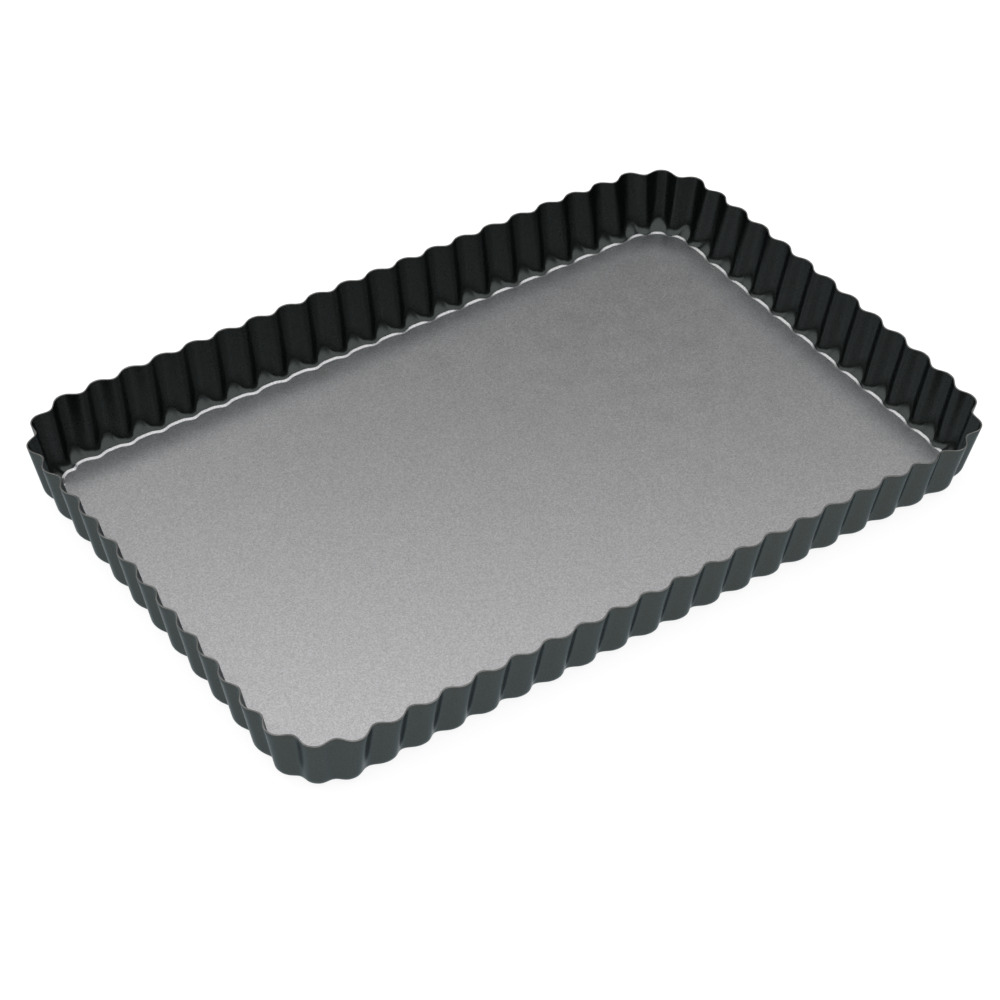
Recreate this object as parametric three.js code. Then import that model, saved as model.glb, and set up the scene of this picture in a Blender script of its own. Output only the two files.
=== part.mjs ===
// Rectangular fluted tart pan with a loose base, in millimetres, +Z up.
// The origin is the centre of the pan's footprint, on the plane it stands on. X runs along the
// long sides and Y along the short sides.
//
// The pan is two steel pressings. The rim is an open ring: a fluted, outward-leaning wall whose
// foot curves inward into a narrow flat ledge. The loose base is a plate with a small raised
// edge that lies on the ledge and is pushed up out of the rim from below.
import * as THREE from "three";

// Wall, measured on its outer face
const RIM_HEIGHT = 28.1;           // ledge underside to the cut edge, in the middle of a side
const RIM_HALF_LENGTH = 154.4;     // mean line of the flutes at the cut edge, along X
const RIM_HALF_WIDTH = 102.84;     // the same, along Y
const CORNER_RADIUS = 26.1;        // of that mean line
const CORNER_DROP = 1.7;           // how much lower the cut edge is in the middle of a corner
const SHEET = 0.6;                 // thickness of the rim's sheet

// Foot and ledge, measured in from the mean line
const FOOT_INSET = 9.6;            // where the foot curve ends and the flat ledge begins
const FOOT_RADIUS = 5.4;           // outer radius of the foot curve, halfway up a flute's side
const FOOT_RADIUS_CORNER = 6.2;    // the same in the middle of a corner
const FOOT_SWING = 1.6;            // the radius grows this much in a crown, shrinks in a crest
const LEDGE_INSET = 18.0;          // ledge's free edge

// Flutes, counted per side: every corner takes three more
const FLUTES_LONG = 18;
const FLUTES_SHORT = 11;
const FLUTES_CORNER = 3;
const PITCH_LONG = 13.71;
const PITCH_SHORT = 13.945;
const FLUTE_RIM = 1.31;            // half wave height at the cut edge
const CORNER_GAIN_RIM = 1.315;     // the corner flutes are deeper at the cut edge by this factor
const CORNER_GAIN_FOOT = 0.7;      // and swing the foot radius less
const CORNER_BLEND = 4.0;          // flutes over which a corner's gain and drop fade out

// Loose base
const BASE_SHEET = 0.8;
const BASE_CLEARANCE = 0.3;        // between the ledge and the base lying on it
const BASE_INSET_X = 7.9;          // base edge to the mean line of the wall, at the short sides
const BASE_INSET_Y = 9.0;          // and at the long sides
const BASE_SCALLOP = 1.2;          // the base edge steps back this much from every crest
const BASE_LIP = 0.5;              // height of the raised edge over the plate
const BASE_LIP_TOP = 0.3;          // width of its flat top
const BASE_LIP_WIDTH = 1.4;        // from the base edge to the end of its slope down to the plate
const BASE_BEVEL = 1.8;            // width of the bevel under the edge, which clears the foot

const STEPS_RIM = 6;               // facets to a flute
const STEPS_BASE = 4;

const FLUTES = 2 * (FLUTES_LONG + FLUTES_SHORT) + 4 * FLUTES_CORNER;

// The rim's mean line: a rounded rectangle walked anticlockwise from the middle of the +X side.
// Every point carries its outward normal and its phase, counted in flutes: whole numbers are
// the crowns of the outward flutes.
function meanLine(steps) {
  const flatX = RIM_HALF_LENGTH - CORNER_RADIUS;
  const flatY = RIM_HALF_WIDTH - CORNER_RADIUS;
  const arc = (Math.PI / 2) * CORNER_RADIUS;
  const quarter = flatY + arc + flatX;
  const endShort = FLUTES_SHORT / 2;
  const endCorner = endShort + FLUTES_CORNER;
  const endQuarter = endCorner + FLUTES_LONG / 2;
  const distShort = endShort * PITCH_SHORT;
  const distCorner = quarter - (FLUTES_LONG / 2) * PITCH_LONG;

  const distance = (phase) => {
    if (phase <= endShort) return phase * PITCH_SHORT;
    if (phase >= endCorner) return distCorner + (phase - endCorner) * PITCH_LONG;
    return distShort + ((phase - endShort) / FLUTES_CORNER) * (distCorner - distShort);
  };
  const place = (phase) => {
    const s = distance(phase);
    if (s <= flatY) return { x: RIM_HALF_LENGTH, y: s, nx: 1, ny: 0 };
    if (s >= flatY + arc) return { x: quarter - s, y: RIM_HALF_WIDTH, nx: 0, ny: 1 };
    const turn = (s - flatY) / CORNER_RADIUS;
    const nx = Math.cos(turn), ny = Math.sin(turn);
    return { x: flatX + CORNER_RADIUS * nx, y: flatY + CORNER_RADIUS * ny, nx, ny };
  };

  const points = [];
  for (let i = 0; i < FLUTES * steps; i += 1) {
    const phase = i / steps;
    const half = phase % (2 * endQuarter);
    const mirrored = half > endQuarter;
    const p = place(mirrored ? 2 * endQuarter - half : half);
    const side = phase >= 2 * endQuarter ? -1 : 1;
    const flip = mirrored ? -1 : 1;
    const toCorner = Math.abs((mirrored ? 2 * endQuarter - half : half) - (endShort + endCorner) / 2);
    const fade = Math.max(0, 1 - toCorner / CORNER_BLEND);
    points.push({
      x: side * flip * p.x, y: side * p.y, nx: side * flip * p.nx, ny: side * p.ny,
      phase, corner: fade * fade * (3 - 2 * fade),
    });
  }
  return points;
}

// One flute: a broad outward crown and a slightly narrower inward crest, about 1 high either way.
function flute(phase) {
  const turn = 2 * Math.PI * phase;
  return Math.cos(turn) - 0.08 * Math.cos(2 * turn) - 0.02 * Math.cos(3 * turn);
}

// A closed skin through rings of equal length. With caps, the first and last ring are filled
// flat; without, the last ring joins the first. Rings run anticlockwise seen from above and
// follow one another from the underside outward and up.
function skin(rings, caps) {
  const count = rings[0].length;
  const position = rings.flat(2);
  const index = [];
  const joins = caps ? rings.length - 1 : rings.length;
  for (let r = 0; r < joins; r += 1) {
    const low = r * count, high = ((r + 1) % rings.length) * count;
    for (let i = 0; i < count; i += 1) {
      const j = (i + 1) % count;
      index.push(low + i, low + j, high + j, low + i, high + j, high + i);
    }
  }
  if (caps) {
    const top = (rings.length - 1) * count;
    const outline = (ring) => ring.map((p) => new THREE.Vector2(p[0], p[1]));
    for (const [a, b, c] of THREE.ShapeUtils.triangulateShape(outline(rings[0]), [])) index.push(a, c, b);
    for (const [a, b, c] of THREE.ShapeUtils.triangulateShape(outline(rings.at(-1)), [])) {
      index.push(top + a, top + b, top + c);
    }
  }
  const geometry = new THREE.BufferGeometry();
  geometry.setAttribute("position", new THREE.Float32BufferAttribute(position, 3));
  geometry.setIndex(index);
  geometry.computeVertexNormals();
  return geometry;
}

function inward(p, inset, z) {
  return [p.x - p.nx * inset, p.y - p.ny * inset, z];
}

// Rim: each ring sits at an inset from the mean line, at a height, with its share of the flutes.
const rimLine = meanLine(STEPS_RIM);

const cutEdge = (skinInset) => rimLine.map((p) => {
  const wave = FLUTE_RIM * (1 + (CORNER_GAIN_RIM - 1) * p.corner) * flute(p.phase);
  return inward(p, skinInset - wave, RIM_HEIGHT - CORNER_DROP * p.corner);
});

// Foot curve: turn is 90 degrees at the wall and 0 at the ledge. It starts higher in a crown than
// in a crest and ends on one smooth line, so the flutes run out over it.
const foot = (skinInset, degrees) => rimLine.map((p) => {
  const turn = THREE.MathUtils.degToRad(degrees);
  const swing = FOOT_SWING * (1 + (CORNER_GAIN_FOOT - 1) * p.corner) * flute(p.phase);
  const outer = FOOT_RADIUS + (FOOT_RADIUS_CORNER - FOOT_RADIUS) * p.corner + swing;
  const radius = outer - skinInset;
  return inward(p, FOOT_INSET - radius * Math.sin(turn), outer - radius * Math.cos(turn));
});

const ledgeEdge = (z) => rimLine.map((p) => inward(p, LEDGE_INSET, z));

const rimGeometry = skin([
  ledgeEdge(0), foot(0, 0), foot(0, 45), foot(0, 90), cutEdge(0),
  cutEdge(SHEET), foot(SHEET, 90), foot(SHEET, 45), foot(SHEET, 0), ledgeEdge(SHEET),
], false);

// Base: a plate with a bevelled underside and a low raised edge that follows the flutes.
const baseLine = meanLine(STEPS_BASE);
const baseRing = (fromEdge, z) => baseLine.map((p) => {
  const inset = BASE_INSET_X * p.nx * p.nx + BASE_INSET_Y * p.ny * p.ny;
  const crest = (1 - flute(p.phase)) / 2;
  return inward(p, inset + fromEdge + BASE_SCALLOP * crest * crest, z);
});
const baseUnder = SHEET + BASE_CLEARANCE;
const baseTop = baseUnder + BASE_SHEET;

const baseGeometry = skin([
  baseRing(BASE_BEVEL, baseUnder),
  baseRing(0, baseTop),
  baseRing(0, baseTop + BASE_LIP),
  baseRing(BASE_LIP_TOP, baseTop + BASE_LIP),
  baseRing(BASE_LIP_WIDTH, baseTop),
], true);

const rim = new THREE.Mesh(
  rimGeometry,
  new THREE.MeshStandardMaterial({ color: 0x3f4647, roughness: 0.42, metalness: 0.6 }),
);
rim.name = "fluted_rim";

const base = new THREE.Mesh(
  baseGeometry,
  new THREE.MeshStandardMaterial({ color: 0x8d8e90, roughness: 0.5, metalness: 0.6 }),
);
base.name = "loose_base";

const pan = new THREE.Group();
pan.add(rim, base);

export default pan;
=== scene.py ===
"""Looks of a rectangular fluted tart pan with a loose base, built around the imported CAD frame.

Both pressings are rebuilt as fine meshes of the CAD's shape, with rounded edges, and get
procedural coatings. Everything is in metres. Sizes are written in millimetres times MM.
"""
import math

import bpy
import numpy as np
from mathutils import Matrix, Vector


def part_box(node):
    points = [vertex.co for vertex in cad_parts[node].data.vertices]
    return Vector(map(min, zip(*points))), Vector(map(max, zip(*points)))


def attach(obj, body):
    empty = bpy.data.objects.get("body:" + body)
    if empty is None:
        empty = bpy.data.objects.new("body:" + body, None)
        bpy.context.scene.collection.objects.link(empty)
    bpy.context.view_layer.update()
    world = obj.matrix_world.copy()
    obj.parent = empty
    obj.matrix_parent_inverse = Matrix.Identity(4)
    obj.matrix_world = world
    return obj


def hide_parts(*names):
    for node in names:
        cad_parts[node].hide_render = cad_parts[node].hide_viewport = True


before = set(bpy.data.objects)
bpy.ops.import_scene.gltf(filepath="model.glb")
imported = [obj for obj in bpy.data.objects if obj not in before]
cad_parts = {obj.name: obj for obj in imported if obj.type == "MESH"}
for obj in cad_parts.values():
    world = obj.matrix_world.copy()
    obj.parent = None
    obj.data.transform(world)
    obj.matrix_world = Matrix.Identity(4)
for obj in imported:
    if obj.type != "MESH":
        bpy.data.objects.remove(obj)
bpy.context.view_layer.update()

MM = 0.001

# Rim, as in the CAD. Its height, length and width come from the frame's boxes.
_, RIM_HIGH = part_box("fluted_rim")
BASE_LOW, BASE_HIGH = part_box("loose_base")
RIM_HEIGHT = RIM_HIGH.z
CORNER_RADIUS = 26.1 * MM
CORNER_DROP = 1.7 * MM             # how much lower the cut edge is in the middle of a corner
SHEET = 0.6 * MM
FOOT_INSET = 9.6 * MM              # where the foot curve ends and the flat ledge begins
FOOT_RADIUS = 5.4 * MM             # outer radius of the foot curve, halfway up a flute's side
FOOT_RADIUS_CORNER = 6.2 * MM      # the same in the middle of a corner
FOOT_SWING = 1.6 * MM              # the radius grows this much in a crown, shrinks in a crest
FOOT_TURN = 80.0                   # degrees, where the foot curve runs into the wall
FOOT_FACET = 0.6                   # how far the inner foot curve is flattened below a crown
FACET_FOCUS = 1.5                  # higher gathers that facet closer round the crown
CREST_SHIFT = 0.8 * MM             # the foot curve ends this much further in below a crest
LEDGE_INSET = 18.0 * MM            # ledge's free edge
LEDGE_CHAMFER = 0.05 * MM          # takes the sharpness off that edge
LEDGE_GUARD = 1.0 * MM             # a ring this far from that edge keeps the shading flat
EDGE_ROUND = 0.14 * MM             # rounding of the cut edge

# Flutes, counted per side: every corner takes three more
FLUTES_LONG = 18
FLUTES_SHORT = 11
FLUTES_CORNER = 3
PITCH_LONG = 13.71 * MM
PITCH_SHORT = 13.945 * MM
FLUTE_RIM = 1.31 * MM              # half wave height at the cut edge
FLUTE_SECOND = 0.08                # share of the second harmonic, which broadens the crown
FLUTE_THIRD = 0.02                 # and of the third
CORNER_GAIN_RIM = 1.315            # the corner flutes are deeper at the cut edge by this factor
CORNER_GAIN_FOOT = 0.7             # and swing the foot radius less
CORNER_BLEND = 4.0                 # flutes over which a corner's gain and drop fade out
CROWN_OVER_MEAN = 1.371 * MM       # how far the outermost crown stands out of the mean line
RIM_HALF_LENGTH = RIM_HIGH.x - CROWN_OVER_MEAN
RIM_HALF_WIDTH = RIM_HIGH.y - CROWN_OVER_MEAN

# Loose base
BASE_INSET_X = 7.9 * MM            # base edge to the mean line of the wall, at the short sides
BASE_INSET_Y = 9.0 * MM            # and at the long sides
BASE_SCALLOP = 1.2 * MM            # the edge steps back this much from every crest
BASE_LIP = 0.5 * MM                # height of the raised edge over the plate
BASE_LIP_TOP = 0.3 * MM            # width of its top, which is rounded to the outside
BASE_LIP_WIDTH = 1.4 * MM          # from the base edge to the end of its slope down to the plate
BASE_LIP_SLOPE = (                 # rings on the slope: share of its width, share of its fall
    (0.08, 0.0212),
    (0.5, 0.5),
    (0.92, 0.9788),
)
BASE_LIP_END = 0.1 * MM            # the plate is flat from this far behind the slope
BASE_FADE = 0.85                   # share of the raised edge lost at the crests of the +X half
BASE_FADE_REACH = 30 * MM          # the loss sets in over this much before and after X = 0
CREST_FOCUS = 1.5                  # higher gathers the loss closer round the crest
BASE_BEVEL = 1.8 * MM              # width of the bevel under the edge, which clears the foot
BASE_BEVEL_BREAK = 0.2 * MM        # its lower corner is broken over this much to either side
BASE_EDGE_IN = 0.15 * MM           # its upper corner is broken by this much inwards
BASE_EDGE_DOWN = 0.1 * MM          # and both corners by this much in height
BASE_GUARD = 4 * MM                # rings this far inside keep the plate's shading flat
BASE_UNDER = BASE_LOW.z
BASE_TOP = BASE_HIGH.z - BASE_LIP

# Fineness
STEPS = 28                         # facets to a flute
FOOT_STEPS = 9                     # over the foot curve
WALL_STEPS = 8                     # up the wall
EDGE_ROUND_STEPS = 3               # rings in the rounding of either corner of the cut edge
LIP_ROUND_STEPS = 4                # rings in the rounding of the base's raised edge
FLUTES = 2 * (FLUTES_LONG + FLUTES_SHORT) + 4 * FLUTES_CORNER

# Camera, at the photograph's angle
CAMERA_AZIMUTH = -35.815           # degrees from the -Y direction; below zero is towards -X
CAMERA_ELEVATION = 42.08
CAMERA_ROLL = 1.666
CAMERA_DISTANCE = 992.0 * MM
CAMERA_TARGET = Vector((-12.53 * MM, -13.18 * MM, 4.1 * MM))
CAMERA_LENS = 96.47                # in millimetres
CAMERA_SENSOR = 36.0               # its width, in millimetres
CAMERA_CLIP = (0.01, 50.0)         # in metres

# Studio: a floor that glows up to white, and one large softbox overhead
WHITE = (1.0, 1.0, 1.0, 1.0)
WORLD_STRENGTH = 0.06
FLOOR_HALF = 6.0                   # half the floor's side
FLOOR_GAP = 0.05 * MM              # keeps the ledge's underside clear of the floor's own plane
FLOOR_GREY = 0.25
FLOOR_ROUGHNESS = 0.9
FLOOR_SPECULAR = 0.1
FLOOR_GLOW = 0.88
SOFTBOX_HEIGHT = 1.7
SOFTBOX_LEFT = 3.2                 # its reaches from above the pan, as the camera sees them
SOFTBOX_RIGHT = 1.9
SOFTBOX_FAR = 1.64
SOFTBOX_NEAR = 2.7
SOFTBOX_POWER = 82.0

# Coatings
NOISE_SPAN = (0.3, 0.7)            # nearly all values of a noise lie in here
FLAKE_SPAN = (0.32, 0.70)          # of the flakes' noise, taken from dark to light
FLAKE_SIZE = 0.50 * MM
SMEAR_SIZE = 9 * MM
PEEL_SIZE = 0.55 * MM              # of the orange peel
SMEAR_DULLING = (-0.02, 0.01)      # the least and most that the smears add to the roughness
FLAKE_DULLING = 0.04               # the most that the flakes add

# Bare steel
STEEL_DARK = (0.16, 0.16, 0.155)
STEEL_LIGHT = (0.28, 0.28, 0.27)
STEEL_ROUGHNESS = (0.38, 0.52)
GRAIN_SIZE = 0.25 * MM
GRAIN_DEPTH = 0.004 * MM
TARNISH_SIZE = 6 * MM

scene = bpy.context.scene


# ---------------------------------------------------------------- camera, floor and light

def add_camera():
    azimuth, elevation, roll = map(math.radians, (CAMERA_AZIMUTH, CAMERA_ELEVATION, CAMERA_ROLL))
    back = Vector((
        math.sin(azimuth) * math.cos(elevation),
        -math.cos(azimuth) * math.cos(elevation),
        math.sin(elevation),
    ))
    level = Vector((math.cos(azimuth), math.sin(azimuth), 0.0))
    upright = back.cross(level)
    right = math.cos(roll) * level + math.sin(roll) * upright
    up = -math.sin(roll) * level + math.cos(roll) * upright
    data = bpy.data.cameras.new("camera")
    data.lens = CAMERA_LENS
    data.sensor_width = CAMERA_SENSOR
    data.clip_start, data.clip_end = CAMERA_CLIP
    camera = bpy.data.objects.new("camera", data)
    turn = Matrix((right, up, back)).transposed().to_4x4()
    camera.matrix_world = Matrix.Translation(CAMERA_TARGET + back * CAMERA_DISTANCE) @ turn
    scene.collection.objects.link(camera)
    scene.camera = camera


def add_softbox():
    """The softbox overhead, square to the camera."""
    data = bpy.data.lights.new("overhead", "AREA")
    data.shape = "RECTANGLE"
    data.size = SOFTBOX_LEFT + SOFTBOX_RIGHT
    data.size_y = SOFTBOX_FAR + SOFTBOX_NEAR
    data.energy = SOFTBOX_POWER
    lamp = bpy.data.objects.new("overhead", data)
    turn = Matrix.Rotation(math.radians(CAMERA_AZIMUTH), 4, "Z")
    middle = (
        (SOFTBOX_RIGHT - SOFTBOX_LEFT) / 2,
        (SOFTBOX_FAR - SOFTBOX_NEAR) / 2,
        SOFTBOX_HEIGHT,
    )
    lamp.matrix_world = turn @ Matrix.Translation(middle)
    scene.collection.objects.link(lamp)


def add_world():
    world = bpy.data.worlds.new("studio")
    scene.world = world
    world.use_nodes = True
    background = world.node_tree.nodes["Background"]
    background.inputs["Color"].default_value = WHITE
    background.inputs["Strength"].default_value = WORLD_STRENGTH


def add_floor():
    mesh = bpy.data.meshes.new("floor")
    corners = [(x * FLOOR_HALF, y * FLOOR_HALF, 0) for x, y in ((-1, -1), (1, -1), (1, 1), (-1, 1))]
    mesh.from_pydata(corners, [], [(0, 1, 2, 3)])
    floor = bpy.data.objects.new("floor", mesh)
    floor.location.z = -FLOOR_GAP
    scene.collection.objects.link(floor)
    material = bpy.data.materials.new("floor")
    material.use_nodes = True
    shader = material.node_tree.nodes["Principled BSDF"]
    shader.inputs["Base Color"].default_value = (FLOOR_GREY, FLOOR_GREY, FLOOR_GREY, 1.0)
    shader.inputs["Roughness"].default_value = FLOOR_ROUGHNESS
    shader.inputs["Specular IOR Level"].default_value = FLOOR_SPECULAR
    shader.inputs["Emission Color"].default_value = WHITE
    shader.inputs["Emission Strength"].default_value = FLOOR_GLOW
    mesh.materials.append(material)


# ---------------------------------------------------------------- shape

def mean_line():
    """The rim's mean line as arrays: place, outward normal, flute phase and nearness to a corner.

    It is a rounded rectangle walked anticlockwise from the middle of the +X side. Whole phases
    are the crowns of the outward flutes.
    """
    flat_x = RIM_HALF_LENGTH - CORNER_RADIUS
    flat_y = RIM_HALF_WIDTH - CORNER_RADIUS
    arc = math.pi / 2 * CORNER_RADIUS
    quarter = flat_y + arc + flat_x
    end_short = FLUTES_SHORT / 2
    end_corner = end_short + FLUTES_CORNER
    end_quarter = end_corner + FLUTES_LONG / 2
    dist_short = end_short * PITCH_SHORT
    dist_corner = quarter - FLUTES_LONG / 2 * PITCH_LONG

    phase = np.arange(FLUTES * STEPS) / STEPS
    half = phase % (2 * end_quarter)
    mirrored = half > end_quarter
    first = np.where(mirrored, 2 * end_quarter - half, half)
    distance = np.interp(
        first,
        [0, end_short, end_corner, end_quarter],
        [0, dist_short, dist_corner, quarter],
    )
    turn = np.clip((distance - flat_y) / CORNER_RADIUS, 0, math.pi / 2)
    nx, ny = np.cos(turn), np.sin(turn)
    x = flat_x + CORNER_RADIUS * nx - np.maximum(distance - flat_y - arc, 0)
    y = np.minimum(distance, flat_y) + CORNER_RADIUS * ny

    side = np.where(phase >= 2 * end_quarter, -1, 1)
    flip = np.where(mirrored, -1, 1)
    fade = np.clip(1 - np.abs(first - (end_short + end_corner) / 2) / CORNER_BLEND, 0, 1)
    return {
        "x": side * flip * x, "y": side * y, "nx": side * flip * nx, "ny": side * ny,
        "flute": flute(phase), "corner": fade * fade * (3 - 2 * fade),
    }


def flute(phase):
    """One flute: a broad outward crown and a slightly narrower inward crest."""
    turn = 2 * math.pi * phase
    return np.cos(turn) - FLUTE_SECOND * np.cos(2 * turn) - FLUTE_THIRD * np.cos(3 * turn)


LINE = mean_line()


def inward(inset, z):
    """A ring of points at an inset from the mean line and a height; both may vary along it."""
    ring = np.empty((len(LINE["x"]), 3))
    ring[:, 0] = LINE["x"] - LINE["nx"] * inset
    ring[:, 1] = LINE["y"] - LINE["ny"] * inset
    ring[:, 2] = z
    return ring


def foot(skin, degrees):
    """Ring of the rim's foot curve, at a depth under the outer face.

    On the inner face, below a crown, the curve is flattened to a small slanted facet.
    """
    gain = 1 + (CORNER_GAIN_FOOT - 1) * LINE["corner"]
    outer = FOOT_RADIUS + (FOOT_RADIUS_CORNER - FOOT_RADIUS) * LINE["corner"]
    outer = outer + FOOT_SWING * gain * LINE["flute"]
    radius = outer - skin
    end = FOOT_INSET + CREST_SHIFT * (1 - LINE["flute"]) / 2
    turn, full = math.radians(degrees), math.radians(FOOT_TURN)
    across, rise = math.sin(turn), 1 - math.cos(turn)
    straight = degrees / FOOT_TURN
    facet = FOOT_FACET * skin / SHEET * np.clip(LINE["flute"], 0, 1) ** FACET_FOCUS
    across = across + facet * (straight * math.sin(full) - across)
    rise = rise + facet * (straight * (1 - math.cos(full)) - rise)
    return inward(end - radius * across, skin + radius * rise)


def cut_edge(skin, below=0.0):
    """Ring of the rim's cut edge, at a depth under the outer face and below the edge's top."""
    wave = FLUTE_RIM * (1 + (CORNER_GAIN_RIM - 1) * LINE["corner"]) * LINE["flute"]
    return inward(skin - wave, RIM_HEIGHT - CORNER_DROP * LINE["corner"] - below)


def wall(skin, share):
    """Ring of the wall, from 0 at the end of the foot curve to 1 at the cut edge."""
    return foot(skin, FOOT_TURN) * (1 - share) + cut_edge(skin, EDGE_ROUND) * share


def quarter_round(count):
    """Sine and cosine steps over a quarter turn, without its two ends."""
    turns = [math.pi / 2 * i / (count + 1) for i in range(1, count + 1)]
    return [(math.sin(t), math.cos(t)) for t in turns]


def piece(name, rings, bare, caps):
    """A closed mesh through rings.

    bare holds a 1 for each ring that joins the next one with bare metal, and a 0 for the others.
    With caps, the first and last ring are filled flat; without, the last ring joins the first.
    """
    count = len(rings[0])
    points = np.concatenate(rings)
    around = np.arange(count)
    after = np.roll(around, -1)
    faces, metal = [], []
    for r in range(len(rings) - 1 if caps else len(rings)):
        low, high = r * count, (r + 1) % len(rings) * count
        faces += np.stack([low + around, low + after, high + after, high + around], 1).tolist()
        metal += [bare[r]] * count
    if caps:
        faces.append(around[::-1].tolist())
        faces.append(((len(rings) - 1) * count + around).tolist())
        metal += [0, 0]
    mesh = bpy.data.meshes.new(name)
    mesh.from_pydata(points.tolist(), [], faces)
    mesh.polygons.foreach_set("material_index", metal)
    mesh.polygons.foreach_set("use_smooth", [True] * len(mesh.polygons))
    mesh.update()
    made = bpy.data.objects.new(name, mesh)
    scene.collection.objects.link(made)
    return made


def make_rim():
    rings, bare = [], []

    def add(ring, metal=0):
        rings.append(ring)
        bare.append(metal)

    round_steps = quarter_round(EDGE_ROUND_STEPS)
    foot_turns = [FOOT_TURN * i / FOOT_STEPS for i in range(FOOT_STEPS + 1)]
    wall_shares = [i / WALL_STEPS for i in range(1, WALL_STEPS + 1)]

    add(inward(LEDGE_INSET, LEDGE_CHAMFER), 1)
    add(inward(LEDGE_INSET - LEDGE_CHAMFER, 0.0))
    add(inward(LEDGE_INSET - LEDGE_GUARD, 0.0))
    for turn in foot_turns:
        add(foot(0.0, turn))
    for share in wall_shares:
        add(wall(0.0, share), 1 if share == 1 else 0)
    for s, c in round_steps:
        add(cut_edge(EDGE_ROUND * (1 - c), EDGE_ROUND * (1 - s)), 1)
    add(cut_edge(EDGE_ROUND), 1)
    add(cut_edge(SHEET - EDGE_ROUND), 1)
    for s, c in round_steps[::-1]:
        add(cut_edge(SHEET - EDGE_ROUND * (1 - c), EDGE_ROUND * (1 - s)), 1)
    for share in wall_shares[::-1]:
        add(wall(SHEET, share))
    for turn in foot_turns[::-1]:
        add(foot(SHEET, turn))
    add(inward(LEDGE_INSET - LEDGE_GUARD, SHEET))
    add(inward(LEDGE_INSET - LEDGE_CHAMFER, SHEET), 1)
    add(inward(LEDGE_INSET, SHEET - LEDGE_CHAMFER), 1)
    rim = piece("rim_pressing", rings, bare, caps=False)
    rim.data.materials.append(rim_coating())
    rim.data.materials.append(cut_steel())
    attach(rim, "rim")
    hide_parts("fluted_rim")


def make_base():
    crest = (1 - LINE["flute"]) / 2
    inset = BASE_INSET_X * LINE["nx"] ** 2 + BASE_INSET_Y * LINE["ny"] ** 2
    inset = inset + BASE_SCALLOP * crest ** 2
    faded = np.clip(0.5 + LINE["x"] / (2 * BASE_FADE_REACH), 0, 1)
    kept = 1 - BASE_FADE * faded * crest ** CREST_FOCUS

    def ring(from_edge, z):
        """Ring at a distance from the base edge; above the plate only the kept height is left."""
        return inward(inset + from_edge, BASE_TOP + (z - BASE_TOP) * (kept if z > BASE_TOP else 1))

    rings, bare = [], []

    def add(made, metal=0):
        rings.append(made)
        bare.append(metal)

    lip_top = BASE_HIGH.z
    radius = BASE_LIP_TOP
    add(ring(BASE_BEVEL + BASE_GUARD, BASE_UNDER))
    add(ring(BASE_BEVEL + BASE_BEVEL_BREAK, BASE_UNDER))
    add(ring(BASE_BEVEL - BASE_BEVEL_BREAK, BASE_UNDER + BASE_EDGE_DOWN))
    add(ring(BASE_EDGE_IN, BASE_TOP - BASE_EDGE_DOWN), 1)
    add(ring(0.0, BASE_TOP), 1)
    for s, c in quarter_round(LIP_ROUND_STEPS):
        add(ring(radius * (1 - c), lip_top - radius * (1 - s)), 1)
    add(ring(radius, lip_top))
    for width, fall in BASE_LIP_SLOPE:
        from_edge = BASE_LIP_TOP + (BASE_LIP_WIDTH - BASE_LIP_TOP) * width
        add(ring(from_edge, lip_top - BASE_LIP * fall))
    add(ring(BASE_LIP_WIDTH + BASE_LIP_END, BASE_TOP))
    add(ring(BASE_LIP_WIDTH + BASE_GUARD, BASE_TOP))
    base = piece("base_plate", rings, bare, caps=True)
    base.data.materials.append(base_coating())
    base.data.materials.append(cut_steel())
    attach(base, "base")
    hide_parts("loose_base")


# ---------------------------------------------------------------- materials

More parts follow.
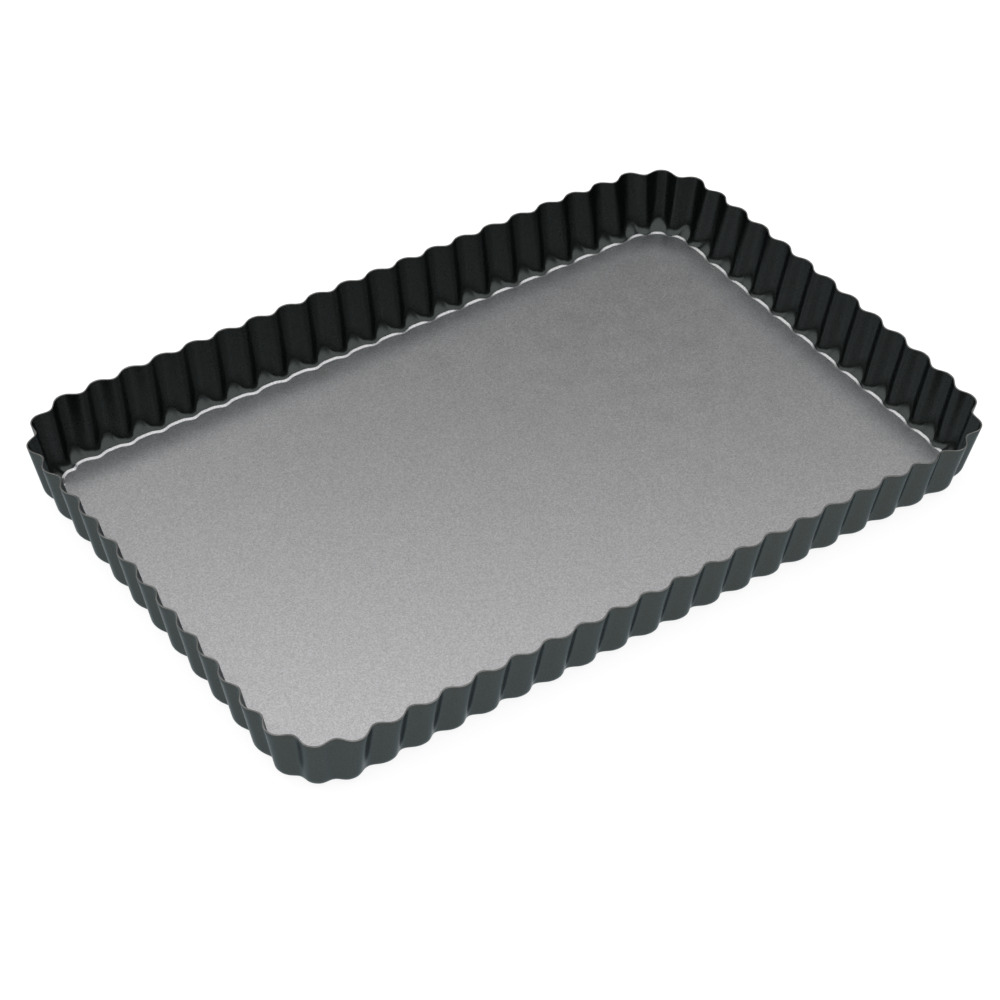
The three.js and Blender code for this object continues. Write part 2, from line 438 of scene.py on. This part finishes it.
class Nodes:
    """Short names for building a material's node tree."""

    def __init__(self, name):
        self.material = bpy.data.materials.new(name)
        self.material.use_nodes = True
        self.tree = self.material.node_tree
        self.shader = self.tree.nodes["Principled BSDF"]
        self.place = self.add("ShaderNodeTexCoord").outputs["Object"]

    def add(self, kind, **settings):
        node = self.tree.nodes.new(kind)
        for key, value in settings.items():
            setattr(node, key, value)
        return node

    def link(self, source, target):
        self.tree.links.new(source, target)

    def set(self, **values):
        """Sets the shader's own sockets; an underscore stands for a space in a socket's name."""
        for key, value in values.items():
            self.shader.inputs[key.replace("_", " ")].default_value = value

    def noise(self, size, detail=2.0, roughness=0.5):
        """Noise whose features are about size across."""
        node = self.add("ShaderNodeTexNoise")
        node.inputs["Scale"].default_value = 1.0 / size
        node.inputs["Detail"].default_value = detail
        node.inputs["Roughness"].default_value = roughness
        self.link(self.place, node.inputs["Vector"])
        return node.outputs["Fac"]

    def spread(self, source, low, high, span=NOISE_SPAN):
        """Spreads a noise's values in span over low to high, clamped."""
        node = self.add("ShaderNodeMapRange")
        self.link(source, node.inputs["Value"])
        node.inputs["From Min"].default_value, node.inputs["From Max"].default_value = span
        node.inputs["To Min"].default_value = low
        node.inputs["To Max"].default_value = high
        return node.outputs["Result"]

    def blend(self, amount, first, second):
        """Blends between two colours.

        The node's colour sockets share their names with other sockets, so they go by number.
        """
        node = self.add("ShaderNodeMix", data_type="RGBA")
        self.link(amount, node.inputs["Factor"])
        node.inputs[6].default_value = (*first, 1.0)
        node.inputs[7].default_value = (*second, 1.0)
        return node.outputs[2]

    def sum(self, first, second):
        node = self.add("ShaderNodeMath", operation="ADD")
        self.link(first, node.inputs[0])
        self.link(second, node.inputs[1])
        return node.outputs["Value"]

    def bump(self, height, distance):
        node = self.add("ShaderNodeBump")
        node.inputs["Distance"].default_value = distance
        self.link(height, node.inputs["Height"])
        self.link(node.outputs["Normal"], self.shader.inputs["Normal"])


def coating(name, dark, light, roughness, peel, **finish):
    """Satin non-stick coating: fine flakes, faint smears and an orange peel as deep as peel."""
    n = Nodes(name)
    flakes = n.noise(FLAKE_SIZE, detail=3.0, roughness=0.7)
    smears = n.noise(SMEAR_SIZE, detail=4.0, roughness=0.6)
    colour = n.blend(n.spread(flakes, 0.0, 1.0, FLAKE_SPAN), dark, light)
    n.link(colour, n.shader.inputs["Base Color"])
    least, most = SMEAR_DULLING
    dulled = n.sum(
        n.spread(smears, roughness + least, roughness + most),
        n.spread(flakes, 0.0, FLAKE_DULLING),
    )
    n.link(dulled, n.shader.inputs["Roughness"])
    n.set(**finish)
    n.bump(n.noise(PEEL_SIZE), peel)
    return n.material


def rim_coating():
    """Near-black; the tint holds back the white floor's reflection in the steep outer faces."""
    return coating(
        "rim_coating", dark=(0.042, 0.049, 0.048), light=(0.064, 0.072, 0.070),
        roughness=0.27, peel=0.008 * MM, Metallic=0.93, Specular_Tint=(0.56, 0.605, 0.625, 1.0),
    )


def base_coating():
    """Light grey metal, much lighter than the rim's coat: this lightness is a painted reflection of
    the overhead light on the plate, while the gradient over the plate is real light from the
    softbox.
    """
    return coating(
        # the light grey here is painted reflection: the plate is made brighter than the rim's coat
        # of the same kind
        "base_coating", dark=(0.43, 0.428, 0.435), light=(0.76, 0.757, 0.772),
        roughness=0.335, peel=0.014 * MM, Metallic=1.0,
    )


def cut_steel():
    """Bare steel of the cut edges: fine grain and a patchy tarnish."""
    n = Nodes("cut_steel")
    grain = n.noise(GRAIN_SIZE, detail=3.0)
    tarnish = n.noise(TARNISH_SIZE, detail=3.0)
    colour = n.blend(n.spread(tarnish, 0.0, 1.0), STEEL_DARK, STEEL_LIGHT)
    n.link(colour, n.shader.inputs["Base Color"])
    n.link(n.spread(grain, *STEEL_ROUGHNESS), n.shader.inputs["Roughness"])
    n.set(Metallic=1.0)
    n.bump(grain, GRAIN_DEPTH)
    return n.material


# ---------------------------------------------------------------- build

add_camera()
add_world()
add_softbox()
add_floor()
make_rim()
make_base()
scene.view_settings.view_transform = "Standard"
